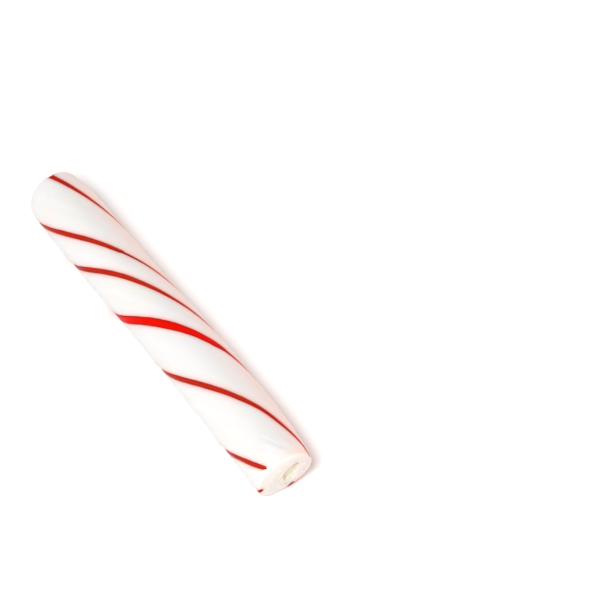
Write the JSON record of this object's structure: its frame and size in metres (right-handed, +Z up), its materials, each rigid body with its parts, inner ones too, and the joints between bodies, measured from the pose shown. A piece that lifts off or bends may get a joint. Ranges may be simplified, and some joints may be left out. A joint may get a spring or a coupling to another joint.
{
  "type": "peppermint stick",
  "caption": "Straight peppermint stick of pulled white sugar, lying down, with red stripes winding round it and cut ends that close to a slit.",
  "frame": {"origin": "on the table plane, under the middle of the stick", "axes": "+X along the stick towards its leaning cut, +Y across it, +Z up from the table"},
  "size_m": [0.0912, 0.0133, 0.0124],
  "materials": {
    "white_sugar": "satin",
    "red_sugar_wide": "satin",
    "red_sugar_thin": "satin"
  },
  "bodies": {
    "root": {"candy_body": "white_sugar", "stripe_wide": "red_sugar_wide", "stripe_thin_a": "red_sugar_thin", "stripe_thin_b": "red_sugar_thin", "stripe_thin_c": "red_sugar_thin"}
  },
  "joints": []
}
